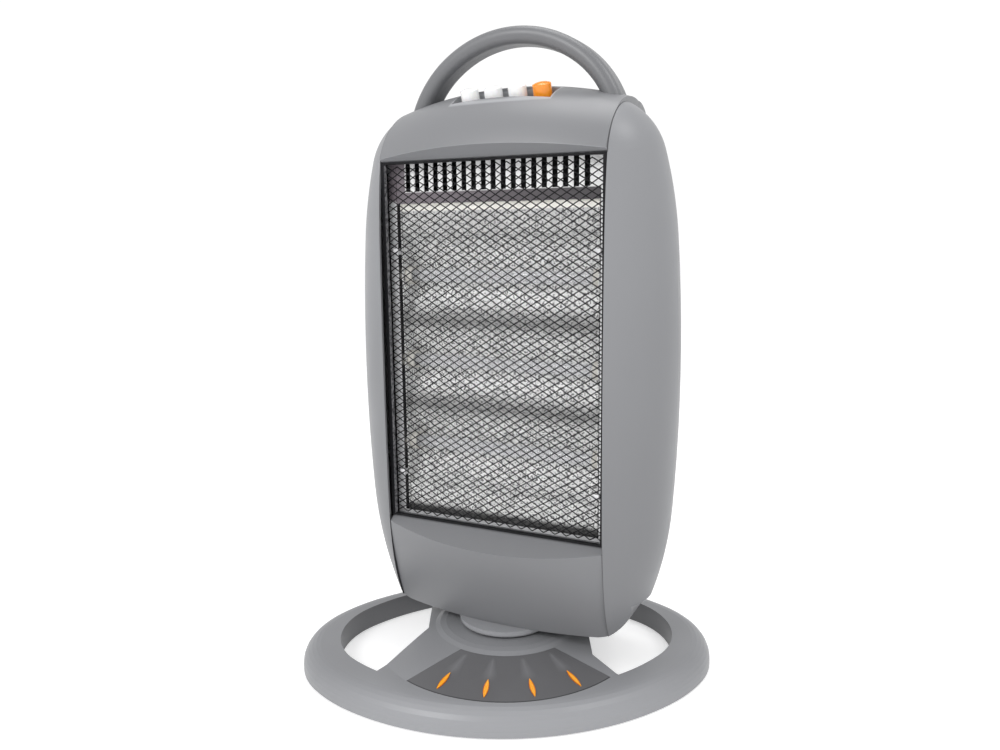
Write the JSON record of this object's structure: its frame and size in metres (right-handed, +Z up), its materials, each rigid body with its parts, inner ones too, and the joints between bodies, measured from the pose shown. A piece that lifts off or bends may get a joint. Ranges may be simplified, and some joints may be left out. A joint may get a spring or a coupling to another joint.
{
  "type": "halogen heater",
  "caption": "Upright halogen room heater with a grey moulded head, mesh guard, push buttons and a carrying handle, swivelling on an oval ring base.",
  "frame": {"origin": "on the floor under the middle of the whole part, which is also the vertical swivel axis of the head", "axes": "+Z up; the base's front faces -Y; +X is to the right of someone who looks at the front of the base"},
  "size_m": [0.376, 0.272, 0.565],
  "materials": {
    "body_grey": "satin moulded",
    "inlay_grey": "satin moulded",
    "orange_lens": "gloss translucent",
    "black_plastic": "matte",
    "foot_rubber": "matte",
    "gland_rubber": "matte",
    "screw_steel": "zinc plated",
    "bearing_plastic": "matte",
    "plated_steel": "zinc plated",
    "collar_grey": "satin moulded",
    "white_button": "gloss",
    "orange_button": "gloss",
    "black_wire": "satin black enamel",
    "vent_metal": "bright",
    "bright_metal": "polished",
    "quartz": "clear",
    "filament_metal": "drawn wire",
    "cap_ceramic": "unglazed",
    "terminal_plastic": "matte"
  },
  "bodies": {
    "base": {"base_shell": "body_grey", "base_plate": "black_plastic", "base_inlay": "inlay_grey", "ray_marks": "orange_lens", "rubber_feet": "foot_rubber", "base_screws": "screw_steel", "hub_bush": "bearing_plastic", "swing_post": "plated_steel", "post_screws": "screw_steel", "swing_lever": "plated_steel", "lever_screw": "screw_steel", "tip_switch": "black_plastic"},
    "tip_plunger": {"tip_plunger": "bearing_plastic"},
    "crank": {"crank": "bearing_plastic"},
    "heat_button_1": {"heat_button_1": "white_button"},
    "heat_button_2": {"heat_button_2": "white_button"},
    "heat_button_3": {"heat_button_3": "white_button"},
    "swing_button": {"swing_button": "orange_button"},
    "head": {"swivel_collar": "collar_grey", "retaining_ring": "plated_steel", "ring_screws": "screw_steel", "collar_screws": "screw_steel", "head_floor": "body_grey", "lower_cover": "body_grey", "lower_cover_screws": "screw_steel", "top_cover": "body_grey", "top_cover_screws": "screw_steel", "left_panel": "body_grey", "right_panel": "body_grey", "panel_screws": "screw_steel", "rear_cover": "body_grey", "rear_screws": "screw_steel", "handle_front": "body_grey", "handle_rear": "body_grey", "handle_screws": "screw_steel", "switch_bank": "black_plastic", "switch_bracket": "plated_steel", "guard_frame": "black_wire", "guard_mesh": "black_wire", "guard_clips": "plated_steel", "inner_case": "plated_steel", "vent_plate": "vent_metal", "reflector": "bright_metal", "lamp_tubes": "quartz", "filaments": "filament_metal", "lamp_caps": "cap_ceramic", "lamp_brackets": "plated_steel", "thermal_cutout": "black_plastic", "terminal_block": "terminal_plastic", "motor_bracket": "plated_steel", "swing_motor": "plated_steel", "motor_screws": "screw_steel", "cord_gland": "gland_rubber"}
  },
  "joints": [
    {"name": "head_swivel", "type": "hinge", "parent": "base", "child": "head", "pos_m": [0, 0, 0.05], "axis": [0, 0, 1], "range_deg": [-6.8, 60.8]},
    {"name": "crank_turn", "type": "hinge", "parent": "head", "child": "crank", "pos_m": [0.0118, 0.02317, 0.0567], "axis": [0, 0, 1], "range_deg": [-186, 23]},
    {"name": "heat_button_1_press", "type": "slide", "parent": "head", "child": "heat_button_1", "axis": [0.1553, 0.3047, -0.9397], "range_m": [0, 0.004], "stiffness_N_per_m": 400, "springref_m": -0.001},
    {"name": "heat_button_2_press", "type": "slide", "parent": "head", "child": "heat_button_2", "axis": [0.1553, 0.3047, -0.9397], "range_m": [0, 0.004], "stiffness_N_per_m": 400, "springref_m": -0.001},
    {"name": "heat_button_3_press", "type": "slide", "parent": "head", "child": "heat_button_3", "axis": [0.1553, 0.3047, -0.9397], "range_m": [0, 0.004], "stiffness_N_per_m": 400, "springref_m": -0.001},
    {"name": "swing_button_press", "type": "slide", "parent": "head", "child": "swing_button", "axis": [0.1553, 0.3047, -0.9397], "range_m": [0, 0.004], "stiffness_N_per_m": 400, "springref_m": -0.001},
    {"name": "tip_plunger_slide", "type": "slide", "parent": "base", "child": "tip_plunger", "axis": [0, 0, -1], "range_m": [0, 0.006], "stiffness_N_per_m": 100, "springref_m": 0.008}
  ],
  "couplings": [
    {"joint": "crank_turn", "follows": "head_swivel", "ratio": -3.018}
  ]
}
